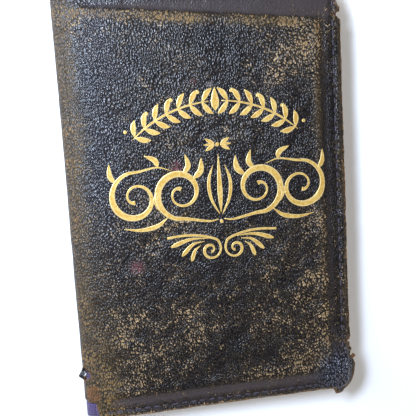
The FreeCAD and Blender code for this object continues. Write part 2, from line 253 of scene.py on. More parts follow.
def slab(name, us, vs, outline, place, materials, marks=None):
    """A closed sheet of material cut to an outline.

    us and vs are grid lines, outline gives the signed distance to the cut, and place gives the outer and
    the inner surface for grid coordinates. Materials are the outside's, the cut edge's and the inside's.
    """
    u, v = np.meshgrid(us, vs, indexing="ij")
    keep = outline((u[1:, 1:] + u[:-1, :-1]) / 2, (v[1:, 1:] + v[:-1, :-1]) / 2) < 0
    padded = np.pad(keep, 1)
    uses = sum(padded[a : a + u.shape[0], b : b + u.shape[1]].astype(int) for a in (0, 1) for b in (0, 1))
    used = uses > 0

    # Points at the cut move onto the outline.
    gap = outline(u, v)
    step = 0.02
    slope_u = (outline(u + step, v) - outline(u - step, v)) / (2 * step)
    slope_v = (outline(u, v + step) - outline(u, v - step)) / (2 * step)
    steep = np.maximum(np.hypot(slope_u, slope_v), 0.3)
    reach = max(np.diff(us).max(), np.diff(vs).max())
    near = used & (uses < 4) & (np.abs(gap) < reach)
    move = np.where(near, np.clip(gap, -reach * 0.7, reach * 0.7) / steep**2, 0)
    u, v = u - move * slope_u, v - move * slope_v

    count = int(used.sum())
    index = np.full(u.shape, -1)
    index[used] = np.arange(count)
    a, b = index[:-1, :-1][keep], index[1:, :-1][keep]
    c, d = index[1:, 1:][keep], index[:-1, 1:][keep]
    faces = [np.stack([a, b, c, d], 1), np.stack([d, c, b, a], 1) + count]
    for axis, end in ((0, -1), (0, 1), (1, -1), (1, 1)):
        beside = np.roll(padded, -end, axis)[1:-1, 1:-1]
        i, j = np.nonzero(keep & ~beside)
        i, j = i + (end > 0) * (1 - axis), j + (end > 0) * axis
        first, second = index[i, j], index[i + axis, j + 1 - axis]
        if (end > 0) == (axis == 0):
            first, second = second, first
        faces.append(np.stack([first, second, second + count, first + count], 1))
    surface = None
    if len(materials) > 1:
        rim_count = sum(len(rim) for rim in faces[2:])
        surface = np.repeat([0, 2, 1], [len(faces[0]), len(faces[1]), rim_count])
    outer, inner = place(u, v)
    flat = np.stack([u, v, np.zeros(u.shape)], -1)[used] * MM
    painted = None if marks is None else np.tile(marks(u, v)[used], (2, 1))
    points = np.concatenate([outer[used], inner[used]])
    flat = np.tile(flat, (2, 1))
    return new_mesh(name, points, np.concatenate(faces).tolist(), painted, flat, surface, materials)


# ---------------------------------------------------------------- the leather's relief, cut and wear

# On the flat leather, u runs from the spine's middle to the fore-edge, positive on the front, and v runs
# towards the head.
# Most terms below are a height or a share of 0 to 1, times a bump or a step at a place, with its width.


def border_distance(u, v):
    """Distance in from the cover's three sewn edges, with rounded corners."""
    return -rounded_box(np.abs(u), v, -EDGE, EDGE, EDGE_Y, CORNER)


def boarded(u):
    """0 on the spine, 1 where a board lies under the leather."""
    return smooth(SHOULDER - 8, SHOULDER - 1, np.abs(u))


def worn_corner(u, v, reach):
    """How near a place is to the front's lower outer corner, which has been bent and handled most."""
    return bump(u, EDGE - 3.8, reach) * bump(v, TAIL + 6.2, reach)


def panel_distance(u, v):
    """Distance in from the edge of the raised panel, which runs a little askew at the head."""
    across = EDGE - BORDER - np.abs(u)
    head = HEAD_CREASE - HEAD_SLANT * (np.abs(u) - SHOULDER + SPINE_CENTRE) - v
    tail = v - TAIL_CREASE
    nearest = np.minimum(np.minimum(head, tail), across)
    radius = 2.5
    corner = np.hypot(np.maximum(radius - across, 0), np.maximum(radius - np.minimum(head, tail), 0))
    return np.where(corner > 0, np.minimum(nearest, radius - corner), nearest)


def relief(u, v):
    """Height of the leather's surface over its plain profile."""
    ripple = 0.25 * noise(u, v, 9, 11)
    far = border_distance(u, v) + ripple
    inward = panel_distance(u, v) + ripple
    step = -0.8 * RECESS * (1 - smooth(-1.2, 1.3, inward)) * boarded(u)
    foot = -0.10 * bump(inward, -1.2, 0.6) * boarded(u)
    crown = 0.20 * bump(inward, 1.8, 1.5) * boarded(u)
    trough = -0.12 * bump(far, STITCH_INSET, 0.6) * boarded(u)
    lip = 0.08 * bump(far, STITCH_INSET - 1.1, 0.5)
    roll = -0.55 * (1 - smooth(0, 1.0, far)) ** 2
    waves = 0.09 * clouds(u, v, 16, 21) + 0.035 * noise(u, v, 3.2, 31)
    head_crease = v - 53.0 - 0.62 * (np.abs(u) - 2.0) - 0.5 * noise(u, v, 4, 33)
    fold = (-0.40 * bump(head_crease, 0, 0.8) + 0.25 * bump(head_crease, -2.2, 1.6)) * (1 - boarded(u) * 0.9)
    fold = fold * smooth(1.0, 4.0, np.abs(u))
    bulge = np.where(u > 0, 2.0 * worn_corner(u, v, 5.4), 0)
    bulge = bulge - np.where(u > 0, 1.3 * smooth(-1.5, 2.5, -far) * worn_corner(u, v, 9), 0)
    return step + foot + crown + trough + lip + roll + waves + fold + bulge


def past_edge(points):
    """Points of the flat leather, given by how far past its fore-edge they are."""
    return [(EDGE + past, v) for past, v in points]


def on_spine(points):
    """Points of the flat leather, given by the x of the front half of the round spine."""
    return [(PROFILE.along(x), v) for x, v in points]


# The lower outer corner, which has spread and frayed, and the swelling above it.
SPREAD = past_edge([
    (-6, -51), (-0.4, -50.6), (0.9, -52.2), (2.0, -54.4), (2.7, -55.9), (1.7, -56.3), (2.4, -58.2),
    (2.3, -60.4), (1.7, -62.4), (0.6, -64.6), (-1.2, -66.4), (-3.2, -68.0), (-4.6, -68.2), (-5.2, -66.6),
    (-10, -64),
])
SWELLING = past_edge([(-2, -43), (0.7, -45.2), (0.9, -48.6), (-2, -49.6)])

# Tears: two at the lower outer corner, two at the upper one, one in the spine, and the spine's missing tail.
TEARS = (
    past_edge([(3, -49.1), (-1.4, -50.1), (3, -50.9)]),
    past_edge([(3, -52.4), (0.9, -53.4), (0.5, -55.0), (1.0, -55.6), (3, -54.2)]),
    past_edge([(3, 58.6), (-2.0, 56.4), (3, 53.6)]),
    past_edge([(3, 58.0), (0.2, 58.8), (-2.2, 61.6), (-5.5, 67), (3, 68)]),
    on_spine([(-43.4, -48.7), (-41.7, -51.5), (-43.6, -53.3)]) + [(-3.2, -52.4), (-2.6, -50.2)],
    [(-6.0, TAIL - 3), (-4.2, TAIL + 5.0), (0.0, TAIL + 6.4)]
    + on_spine([(-42.6, TAIL + 5.4), (-41.0, TAIL + 5.6), (-40.2, TAIL + 2.2), (-38.4, TAIL - 3)]),
)


def hide_outline(u, v):
    """Signed distance to the cut of the hide: the rounded cover with its tears and frayed corners."""
    fray = 0.10 * noise(u, v, 1.1, 41) + 0.12 * noise(u, v, 3.0, 42)
    gap = rounded_box(u, v, -EDGE - FORE_SPREAD, EDGE + FORE_SPREAD, EDGE_Y, CORNER) + fray
    gap = np.minimum(gap, polygon(u, v, SPREAD) + 1.4 * fray)
    gap = np.minimum(gap, polygon(u, v, SWELLING) + fray)
    for corners in TEARS:
        gap = np.maximum(gap, -(polygon(u, v, corners) + 1.2 * fray))
    return gap


def hide_place(u, v):
    """Outer and inner surface of the hide. The boards lie in a shallow recess of the inner one."""
    x, z, out_x, out_z = PROFILE.at(u)
    height = relief(u, v)
    outer = np.stack([x + out_x * height, v, z + out_z * height], -1)
    x, z, out_x, out_z = PROFILE.at(u, LEATHER, LINING_DEPTH)
    over_board = rounded_box(x, v, BOARD_LOW.x, BOARD_HIGH.x, BOARD_HIGH.y, 1.0)
    sink = RECESS * (1 - smooth(-0.2, 0.4, over_board)) - GAP
    sink = sink + np.minimum(height + RECESS, 0) * 0.8
    sink = sink + np.where(u > 0, 0.9 * worn_corner(u, v, 5.0), 0)
    inner = np.stack([x + out_x * sink, v, z + out_z * sink], -1)
    return outer, inner


def hide_marks(u, v):
    """Painted marks: worn grain, brown leather, depth of the grain, and gloss with a painted dark blue-grey
    sheen.

    side is the distance from the spine's middle, and fore the distance in from the panel's fore-edge.
    """
    inside = -hide_outline(u, v)
    inward = panel_distance(u, v)
    side = np.abs(u)
    front = (u > 0).astype(float)
    panel = np.maximum(smooth(-0.8, 0.8, inward), 1 - boarded(u))
    patches = clouds(u, v, 15, 51)
    blots = clouds(u, v, 6, 61)
    fore = EDGE - BORDER - side
    corner_u = EDGE - 13

    def spot(middle_u, wide_u, middle_v, wide_v):
        """A soft patch on both covers."""
        return bump(side, middle_u, wide_u) * bump(v, middle_v, wide_v)

    rub = 0.13 + 0.23 * smooth(16, -22, v) * smooth(0, 16, side)
    rub = rub + 0.18 * patches + 0.18 * blots
    rub = rub + 0.10 * bump(fore, 2.6, 2.4) * smooth(-70, 40, -v + 34 * noise(u, v, 11, 71)) * panel
    rub = rub + 0.26 * bump(inward, 1.8, 2.2) * smooth(45, 54, v) * panel
    rub = rub + 0.46 * spot(EDGE - 20, 14, 41, 14)
    rub = rub + 0.08 * spot(corner_u, 8, -54.5, 5.5)
    rub = rub + 0.05 * bump(side, 12, 9) * smooth(10, -45, v) + 0.12 * bump(side, 4, 5)
    rub = rub - 0.30 * spot(EDGE - 42, 14, 49, 5) * front
    rub = rub - 0.30 * spot(4, 6, 60, 14) - 0.20 * spot(3, 5, TAIL + 4, 8)
    rub = rub * (0.62 + 0.38 * panel)
    edge_rub = 0.75 * (1 - smooth(0.5, 1.6, inside)) * smooth(EDGE_Y - 3, EDGE_Y - 1, np.abs(v))
    rub = np.maximum(rub, edge_rub + 0.3 * blots * edge_rub)
    fold_line = 1.05 * bump(side, 3.4, 4.6) * (0.70 + 0.30 * noise(u, v, 7, 81))
    fold_line = np.minimum(fold_line, 0.84) * (1 - 0.35 * smooth(35, 55, v))
    fold_patch = 1.15 * spot(4.4, 5.0, TAIL + 8.6, 5.5)
    head_patch = 0.66 * spot(4.0, 5.0, 60.5, 6.5)
    low_spine = 0.80 * bump(side, 7.0, 8.0) * smooth(25, -35, v) * (0.75 + 0.4 * patches)
    ridge = 0.72 * bump(inward, 1.6, 2.0) * smooth(45, 54, v) * panel * (0.8 + 0.4 * blots)
    haze = 0.46 * spot(EDGE - 18, 15, 41, 15) * (0.8 + 0.5 * patches)
    crease = 0.46 * bump(fore, 1.8, 1.8) * panel * (0.7 + 0.6 * noise(u, v, 9, 83))
    corner = 0.50 * spot(corner_u + 1, 7, -54.5, 4.0)
    bent = worn_corner(u, v, 6.8) * front
    raw = 1.1 * (1 - smooth(0.15, 0.75 + 1.3 * bent, inside + (0.30 + 0.3 * bent) * noise(u, v, 0.9, 91)))
    rim = 0.30 * smooth(4.5, 1.0, EDGE - side) * (0.8 + 0.6 * blots)
    brown = [fold_line, fold_patch, head_patch, low_spine, ridge, haze, crease, corner, raw, rim]
    brown = np.maximum.reduce(brown)
    brown = brown * (1 - 0.9 * bent * (1 - raw))
    rub = rub * (1 - bent)
    outer_band = smooth(5.0, 2.6, border_distance(u, v))
    grain = 0.36 + 0.64 * panel + 0.30 * outer_band * (1 - panel)
    grain = grain + 0.32 * (1 - panel) * smooth(-1, 3, EDGE_Y - BORDER - 3 - np.abs(v))
    grain = np.maximum(grain, np.minimum(1, 1.6 * bent))
    # Glossier, deeper grain and a painted blue-grey sheen at the bent corner and in a band along the spine's
    # shoulder towards the head.
    shoulder = 0.42 * bump(side, 14, 6) * smooth(-25, 15, v) * (0.8 + 0.5 * noise(u, v, 6, 85))
    polish_and_painted_sheen = np.maximum(np.minimum(1, 1.5 * bent), shoulder) * (1 - np.minimum(raw, 1))
    return np.clip(np.stack([rub, brown, grain, polish_and_painted_sheen], -1), 0, 1)


# ---------------------------------------------------------------- materials


class Nodes:
    """A material under construction, with short calls for its nodes."""

    def __init__(self, name):
        self.material = bpy.data.materials.new(name)
        self.material.use_nodes = True
        self.tree = self.material.node_tree
        self.shader = self.tree.nodes["Principled BSDF"]

    def put(self, value, socket):
        """Gives a socket a plain value, or links it to another node's."""
        if isinstance(value, bpy.types.NodeSocket):
            self.tree.links.new(value, socket)
        else:
            socket.default_value = value

    def add(self, kind, inputs=None, **settings):
        node = self.tree.nodes.new("ShaderNode" + kind)
        for key, value in settings.items():
            setattr(node, key, value)
        for key, value in (inputs or {}).items():
            self.put(value, node.inputs[key])
        return node

    def math(self, operation, first, second=0.0):
        return self.add("Math", {0: first, 1: second}, operation=operation).outputs[0]

    def times(self, first, second):
        return self.math("MULTIPLY", first, second)

    def sum(self, *terms):
        """The sum of values, each alone or in a pair with its weight."""
        values = [self.times(*term) if isinstance(term, tuple) else term for term in terms]
        total = values[0]
        for value in values[1:]:
            total = self.math("ADD", total, value)
        return total

    def wave(self, value, length):
        """A sine wave over a coordinate in metres, its length in millimetres."""
        return self.math("SINE", self.times(value, 2 * math.pi / (length * MM)))

    def mix(self, share, a, b):
        node = self.add("Mix", data_type="RGBA", clamp_factor=True)
        for socket, value in (("Factor", share), ("A", a), ("B", b)):
            self.put(value, node.inputs[socket])
        return node.outputs["Result"]

    def between(self, value, low, high, to_low=0.0, to_high=1.0):
        """The value, eased from the range low..high to the range to_low..to_high."""
        inputs = {"Value": value, "From Min": low, "From Max": high, "To Min": to_low, "To Max": to_high}
        return self.add("MapRange", inputs, interpolation_type="SMOOTHSTEP").outputs["Result"]

    def flat(self):
        """The sheet's own flat coordinates, in metres, which stay with it as it bends."""
        return self.add("Attribute", attribute_name="flat").outputs["Vector"]

    def solid(self):
        """The piece's coordinates in the frame, for a piece that doesn't bend."""
        return self.add("TexCoord").outputs["Object"]

    def axes(self, where):
        parts = self.add("SeparateXYZ", {"Vector": where}).outputs
        return parts["X"], parts["Y"]

    def marks(self):
        """The four painted marks."""
        marks = self.add("Attribute", attribute_name="marks").outputs
        parts = self.add("SeparateColor", {"Color": marks["Color"]}).outputs
        return parts["Red"], parts["Green"], parts["Blue"], marks["Alpha"]

    def noise(self, where, per_mm, detail=2.0, rough=0.5, distortion=0.0):
        inputs = {"Vector": where, "Scale": per_mm / MM, "Detail": detail, "Roughness": rough}
        return self.add("TexNoise", {**inputs, "Distortion": distortion}).outputs["Fac"]

    def cells(self, where, per_mm, randomness=1.0):
        inputs = {"Vector": where, "Scale": per_mm / MM, "Randomness": randomness}
        return self.add("TexVoronoi", inputs, voronoi_dimensions="2D").outputs

    def finish(self, colour, roughness, height=None, depth_mm=0.1, strength=1.0):
        """Sets the shader's colour, roughness and, where a height is given, its relief."""
        self.put(colour, self.shader.inputs["Base Color"])
        self.put(roughness, self.shader.inputs["Roughness"])
        if height is not None:
            inputs = {"Height": height, "Distance": depth_mm * MM, "Strength": strength}
            self.put(self.add("Bump", inputs).outputs["Normal"], self.shader.inputs["Normal"])
        return self.material


def rgb(red, green, blue):
    """A screen colour, 0 to 255, as linear light."""
    shares = [value / 255 for value in (red, green, blue)]
    return (*(s / 12.92 if s <= 0.04045 else ((s + 0.055) / 1.055) ** 2.4 for s in shares), 1.0)


# Small scrapes of the front cover: where each is, its reach and the colour it left.
SCUFFS = (
    ((-10.5, 12.5), 3.0, (128, 76, 80)),
    ((-24.7, -17.6), 3.4, (132, 84, 86)),
    ((-3.6, 38.4), 1.6, (120, 62, 66)),
    ((1.5, 37.1), 1.5, (150, 140, 132)),
)


def leather_material():
    """Black pebble-grain hide, worn tan on the tops of its grain and brown where it is rubbed through."""
    n = Nodes("worn_black_leather")
    flat = n.flat()
    rub, brown, grain, polish_and_painted_sheen = n.marks()

    # The grain's cells are bent a little, and stretched along a slant.
    drift = n.add("TexNoise", {"Vector": flat, "Scale": 0.12 / MM, "Detail": 2.0}).outputs["Color"]
    shift = n.add("VectorMath", {0: drift, 1: (0.5, 0.5, 0.5)}, operation="SUBTRACT").outputs["Vector"]
    shift = n.add("VectorMath", {0: shift, "Scale": 4.0 * MM}, operation="SCALE").outputs["Vector"]
    warped = n.add("VectorMath", {0: flat, 1: shift}, operation="ADD").outputs["Vector"]
    slant = {"Vector": warped, "Rotation": (0, 0, math.radians(-14)), "Scale": (1.22, 0.80, 1.0)}
    lean = n.add("Mapping", slant).outputs["Vector"]

    cells = n.cells(lean, 1.28, 0.95)
    random = n.add("SeparateColor", {"Color": cells["Color"]}).outputs
    dome = n.between(cells["Distance"], 0.64, 0.06)
    pip = n.between(n.cells(lean, 2.3)["Distance"], 0.60, 0.08)
    pebble = n.sum((dome, 0.82), (pip, 0.18))
    wrinkle = n.noise(lean, 2.6, 3.0, 0.6)
    dents = n.noise(flat, 0.40, 3.0, 0.55)
    height = n.sum(n.times(pebble, n.sum(grain, (polish_and_painted_sheen, 0.5))), (wrinkle, 0.14), (dents, 0.55))

    # The tops of the grain are worn where the level and the pebble's own height together pass a limit.
    clump = n.sum(n.noise(flat, 0.34, 3.0, 0.6), -0.5)
    level = n.sum(rub, (clump, 1.35), (brown, 0.50))
    peak = n.sum((pebble, 0.80), (random["Red"], 0.34), (wrinkle, 0.20), (level, 0.92))
    speck = n.between(peak, 1.26, 1.52)

    black = n.mix(n.between(n.noise(flat, 0.09, 2.0), 0.35, 0.65), rgb(15, 13, 18), rgb(27, 21, 22))
    umber = n.mix(n.noise(flat, 0.6, 3.0), rgb(52, 37, 14), rgb(79, 58, 24))
    stained = n.between(brown, 0.05, 0.70)
    valley = n.mix(stained, rgb(6, 5, 7), rgb(34, 26, 14))
    ground = n.mix(n.between(pebble, 0.15, 0.75), valley, n.mix(stained, black, umber))
    # Painted sheen: where the grain is shallow, on the smooth borders, the ground colour is lightened
    # towards a warm grey.
    plain = n.between(n.sum(grain, (clump, 0.7)), 0.85, 0.30, 0.0, 0.75)
    ground = n.mix(plain, ground, rgb(65, 58, 59))
    tan = n.mix(random["Green"], rgb(112, 91, 64), rgb(170, 143, 106))
    ochre = n.mix(random["Green"], rgb(91, 70, 39), rgb(121, 95, 56))
    tops = n.mix(n.between(brown, 0.10, 0.60), tan, ochre)
    dust = n.between(n.sum(pip, (n.noise(flat, 1.1, 2.0), 0.9)), 0.95, 1.35)
    dust = n.times(dust, n.between(level, -0.15, 0.6, 0.10, 0.62))
    ground = n.mix(dust, ground, rgb(92, 78, 58))
    colour = n.mix(speck, ground, tops)
    through = n.between(n.sum(brown, (clump, 0.5)), 0.84, 1.04, 0.0, 0.85)
    colour = n.mix(through, colour, n.mix(wrinkle, rgb(74, 45, 22), rgb(122, 80, 40)))
    for (x, y), reach, tint in SCUFFS:
        middle = (PROFILE.along(x) * MM, y * MM, 0.0)
        gap = n.add("VectorMath", {0: flat, 1: middle}, operation="DISTANCE").outputs["Value"]
        gap = n.sum(gap, (clump, 3.0 * MM))
        scuff = n.times(n.between(gap, reach * MM, 0.0), n.between(wrinkle, 0.45, 0.58))
        colour = n.mix(n.times(scuff, 0.70), colour, rgb(*tint))
    # Painted sheen: where polished, at the bent corner and the spine's shoulder, the colour turns blue-grey,
    # lighter on the pebbles' tops.
    painted_sheen = n.mix(n.between(pebble, 0.3, 0.85), rgb(30, 30, 35), rgb(91, 92, 104))
    colour = n.mix(n.times(polish_and_painted_sheen, 0.85), colour, painted_sheen)

    rough = n.sum(n.between(pebble, 0.2, 0.9, 0.41, 0.23), (speck, 0.22), (brown, 0.16), (polish_and_painted_sheen, -0.20))
    n.shader.inputs["Specular IOR Level"].default_value = 0.5
    return n.finish(colour, rough, height, depth_mm=0.17, strength=0.9)


def raw_edge_material():
    """The cut edge of the hide: fibrous tan suede."""
    n = Nodes("raw_leather_edge")
    fibre = n.noise(n.flat(), 3.0, 4.0, 0.7)
    colour = n.mix(n.between(fibre, 0.3, 0.7), rgb(50, 35, 21), rgb(132, 94, 48))
    return n.finish(colour, 0.92, fibre, depth_mm=0.15)


def flesh_material():
    """The underside of the hide, brown and matt."""
    n = Nodes("leather_flesh_side")
    fibre = n.noise(n.flat(), 1.6, 4.0, 0.7, 0.6)
    return n.finish(n.mix(fibre, rgb(60, 40, 30), rgb(112, 84, 62)), 0.9, fibre)


def cloth_material():
    """Violet cotton lining with a plain weave, faded in patches."""
    n = Nodes("violet_lining_cloth")
    flat = n.flat()
    x, y = n.axes(flat)
    thread = 0.62
    warp = n.times(n.wave(x, thread), n.sum((n.wave(y, 2 * thread), 0.4), 0.6))
    weft = n.times(n.wave(y, thread), n.sum((n.wave(x, 2 * thread), 0.4), 0.6))
    weave = n.sum((n.sum(warp, weft), 0.25), 0.5)
    slub = n.noise(flat, 0.8, 4.0, 0.65)
    fade = n.between(n.noise(flat, 0.07, 3.0), 0.3, 0.7)
    colour = n.mix(fade, rgb(38, 27, 60), rgb(60, 46, 86))
    colour = n.mix(n.between(weave, 0.3, 0.75, 0.0, 0.6), colour, rgb(104, 90, 128))
    colour = n.mix(n.between(slub, 0.62, 0.8, 0.0, 0.5), colour, rgb(34, 24, 50))
    n.shader.inputs["Sheen Weight"].default_value = 0.25
    n.shader.inputs["Sheen Roughness"].default_value = 0.5
    return n.finish(colour, 0.85, n.sum(weave, (slub, 0.4)), depth_mm=0.12)


def pocket_material():
    """Thin smooth black skiver leather with a fine grain and scuffs."""
    n = Nodes("pocket_skiver")
    flat = n.flat()
    scuff = n.between(n.noise(flat, 0.35, 4.0, 0.7, 1.0), 0.56, 0.72)
    colour = n.mix(n.noise(flat, 0.1, 2.0), rgb(34, 29, 31), rgb(52, 43, 42))
    colour = n.mix(n.times(scuff, 0.45), colour, rgb(126, 96, 70))
    height = n.sum(n.cells(flat, 2.4)["Distance"], n.noise(flat, 0.5, 2.0))
    return n.finish(colour, n.between(scuff, 0, 1, 0.48, 0.75), height, depth_mm=0.07)


def thread_material():
    """Waxed lilac thread, laid in plies, with dirt."""
    n = Nodes("lilac_thread")
    x, y = n.axes(n.flat())
    ply = n.sum((n.math("SINE", n.sum((x, 11.0 / MM), (y, 15.0 / MM))), 0.5), 0.5)
    dirt = n.noise(n.solid(), 0.5, 3.0)
    colour = n.mix(n.between(dirt, 0.35, 0.65), rgb(67, 61, 74), rgb(41, 35, 39))
    colour = n.mix(n.times(ply, 0.3), colour, rgb(88, 80, 95))
    return n.finish(colour, 0.7, ply, depth_mm=0.06)


def gilt_material():
    """Gold foil pressed in the leather: bright, mottled, rubbed thin here and there, and lightened along its
    rims by a painted highlight.
    """
    n = Nodes("stamped_gold_foil")
    rim = n.marks()[0]
    where = n.solid()
    mottle = n.noise(where, 0.9, 4.0, 0.65)
    flake = n.between(n.noise(where, 1.7, 3.0, 0.6, 0.5), 0.64, 0.72)
    colour = n.mix(n.between(mottle, 0.35, 0.65), rgb(206, 161, 72), rgb(240, 205, 120))
    # Painted highlight: the pressed rims are lightened towards pale cream.
    colour = n.mix(n.times(rim, 0.7), colour, rgb(252, 232, 180))
    colour = n.mix(n.times(flake, 0.75), colour, rgb(104, 78, 40))
    n.put(n.between(flake, 0, 1, 0.45, 0.1), n.shader.inputs["Metallic"])
    rough = n.between(mottle, 0.3, 0.7, 0.48, 0.32)
    return n.finish(colour, rough, n.sum(mottle, (flake, -1.0)), depth_mm=0.05)


def board_material():
    """Grey-brown binder's board."""
    n = Nodes("binders_board")
    fibre = n.noise(n.solid(), 0.9, 5.0, 0.7)
    return n.finish(n.mix(fibre, rgb(110, 96, 80), rgb(168, 150, 126)), 0.95, fibre, depth_mm=0.08)


def card_material():
    """The booklet's red cover card, cloth grained, faded and rubbed pale at its edges."""
    n = Nodes("red_booklet_card")
    flat = n.flat()
    x, y = n.axes(flat)
    rib = 0.5
    colour = n.mix(n.between(n.noise(flat, 0.08, 4.0, 0.6), 0.3, 0.7), rgb(96, 34, 30), rgb(128, 56, 44))
    colour = n.mix(n.between(n.noise(flat, 0.6, 4.0), 0.62, 0.75, 0.0, 0.5), colour, rgb(158, 104, 82))
    return n.finish(colour, 0.78, n.times(n.wave(x, rib), n.wave(y, rib)), depth_mm=0.04)


def paper_material():
    """Aged cream paper with faint ruled lines, browner at its edges."""
    n = Nodes("ruled_paper")
    flat = n.flat()
    age, ruled = n.marks()[:2]
    line_pitch = 6.0
    stain = n.between(n.noise(flat, 0.04, 3.0, 0.5), 0.30, 0.80)
    colour = n.mix(stain, rgb(190, 173, 138), rgb(170, 149, 110))
    colour = n.mix(n.times(age, 0.6), colour, rgb(140, 106, 64))
    phase = n.math("FRACT", n.math("DIVIDE", n.axes(flat)[1], line_pitch * MM))
    line = n.between(n.math("ABSOLUTE", n.sum(phase, -0.5)), 0.040, 0.020)
    colour = n.mix(n.times(n.times(line, ruled), 0.75), colour, rgb(86, 98, 132))
    return n.finish(colour, 0.88, n.noise(flat, 1.4, 4.0, 0.7), depth_mm=0.012)


def staple_material():
    """Dull steel wire with specks of rust."""
    n = Nodes("dull_steel_wire")
    rust = n.between(n.noise(n.solid(), 1.5, 4.0, 0.7), 0.55, 0.7)
    n.put(n.between(rust, 0, 1, 1.0, 0.1), n.shader.inputs["Metallic"])
    colour = n.mix(rust, rgb(168, 164, 158), rgb(112, 66, 38))
    return n.finish(colour, n.between(rust, 0, 1, 0.36, 0.85), rust, depth_mm=0.03)


LEATHER_SKIN = leather_material()
RAW_EDGE = raw_edge_material()
FLESH = flesh_material()
CLOTH = cloth_material()
SKIVER = pocket_material()
THREAD = thread_material()
GILT = gilt_material()
BOARD = board_material()
CARD = card_material()
PAPER = paper_material()
STEEL = staple_material()
HIDE = (LEATHER_SKIN, RAW_EDGE, FLESH)


# ---------------------------------------------------------------- how pieces join the bodies


# The leather is cut where no seam shows in use: near the middle of each strip of the CAD's spine.
CUT_X = box_mm("spine_front_leather")[0].x * 0.57 + HINGE_X * 0.43
CUT = PROFILE.along(CUT_X)
CUT_Z = float(PROFILE.at(np.array(CUT))[1])
HINGE_AHEAD = 2 * HINGE_X - CUT_X
MARGIN = 3.0

# Each span along the leather: its ends, the inner and the outer body, and where the turn starts and ends.
SPANS = {
    "front_cover": (CUT, EDGE + MARGIN, "spine_front", "front_cover", (CUT_X, CUT_Z), (HINGE_AHEAD, CUT_Z)),
    "spine_front": (0.0, CUT, "spine_middle", "spine_front", (SPINE_X, MIDDLE), (CUT_X, CUT_Z)),
    "spine_back": (-CUT, 0.0, "spine_middle", "spine_back", (SPINE_X, MIDDLE), (CUT_X, TOP - CUT_Z)),
    "back_cover": (-EDGE - MARGIN, -CUT, "spine_back", "back_cover",
                   (CUT_X, TOP - CUT_Z), (HINGE_AHEAD, TOP - CUT_Z)),
}


def bend_with_spine(piece):
    """Bakes the placement of a piece of leather or lining into its mesh."""
    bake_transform(piece)


def span_lines(span, fine, coarse):
    """Grid lines along the leather over one span, fine round the fold."""
    low, high = SPANS[span][:2]
    folded = 12
    if span == "front_cover":
        flat_lines = graded(low + folded, high, fine, coarse, 11)
        return np.concatenate([np.arange(low, low + folded, fine), flat_lines])
    if span == "back_cover":
        return -span_lines("front_cover", fine, coarse)[::-1]
    return np.linspace(low, high, int((high - low) / fine) + 1)


def centred_lines(half, past, fine, coarse, margin):
    """Grid lines from the tail to the head, ending a little past the piece's half height."""
    return graded(-half - past, half + past, fine, coarse, margin)


def settle(piece, nodes=(), body=None):
    """Hides the CAD nodes a piece stands for and, where it doesn't bend, attaches it to its body."""
    if nodes:
        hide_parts(*nodes)
    if body:
        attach(piece, body)


# ---------------------------------------------------------------- pieces


def bent_strips(pieces, grid, vs, shape, materials, marks=None):
    """A sheet round the spine and both covers, as one piece for each span, which meet edge to edge."""
    made = {}
    for span, (name, nodes) in pieces.items():
        made[span] = slab(name, span_lines(span, *grid), vs, *shape, materials, marks)
        bend_with_spine(made[span])
        settle(made[span], nodes)
    return made


def make_hide():
    """The leather, in four pieces."""
    pieces = {
        "front_cover": ("front_hide", ["front_cover_leather"]),
        "spine_front": ("spine_front_hide", ["spine_front_leather", "spine_middle_leather"]),
        "spine_back": ("spine_back_hide", ["spine_back_leather", "spine_middle_leather"]),
        "back_cover": ("back_hide", ["back_cover_leather"]),
    }
    vs = centred_lines(EDGE_Y, MARGIN, 0.32, 0.62, 13)
    bent_strips(pieces, LEATHER_GRID, vs, (hide_outline, hide_place), HIDE, hide_marks)


def make_torn_flap():
    """The scrap of leather torn from the spine, still hanging by its head end and turned outwards."""
    corners = [(-42.9, -48.7), (-42.9, -50.3), (-43.5, -51.4), (-43.9, -53.0),
               (-44.6, -52.3), (-45.3, -51.7), (-44.5, -50.3), (-43.9, -48.9)]
    thick = 0.5

    def outline(x, y):
        return polygon(x, y, corners) + 0.10 * noise(x, y, 0.7, 45)

    def place(x, y):
        height = MIDDLE + 1.9 + 0.45 * (x + 43.0) + 0.35 * np.sin(1.7 * (y + 49))
        return np.stack([x, y, height], -1), np.stack([x, y, height - thick], -1)

    def marks(x, y):
        rim = 1 - smooth(0.05, 0.35, -outline(x, y))
        return np.stack([x * 0, 0.4 * rim, x * 0 + 0.9, x * 0], -1)

    xs, ys = np.arange(-46, -42.3, 0.15), np.arange(-53.6, -48, 0.15)
    flap = slab("torn_spine_flap", xs, ys, outline, place, (LEATHER_SKIN, RAW_EDGE, LEATHER_SKIN), marks)
    bend_with_spine(flap)
    settle(flap)


def lining_outline(u, v):
    """Signed distance to the cut of the lining, a little inside the leather's."""
    half_u, half_v = EDGE - LINING_INSET, EDGE_Y - LINING_INSET
    return rounded_box(u, v, -half_u, half_u, half_v, CORNER) + 0.15 * noise(u, v, 2.0, 101)


def lining_place(u, v):
    """The lining lies on the boards and under the turned border, and is loose where the spine is torn."""
    x, z, out_x, out_z = PROFILE.at(u, LEATHER + GAP, LINING_DEPTH + GAP)
    loose = bump(np.abs(u), 0, 7) * smooth(TAIL + 9, TAIL + 4.5, v) * 0.75
    lift = loose + 0.03 * clouds(u, v, 9, 111)
    return [np.stack([x + out_x * up, v, z + out_z * up], -1) for up in (lift, lift - LINING_THICK)]


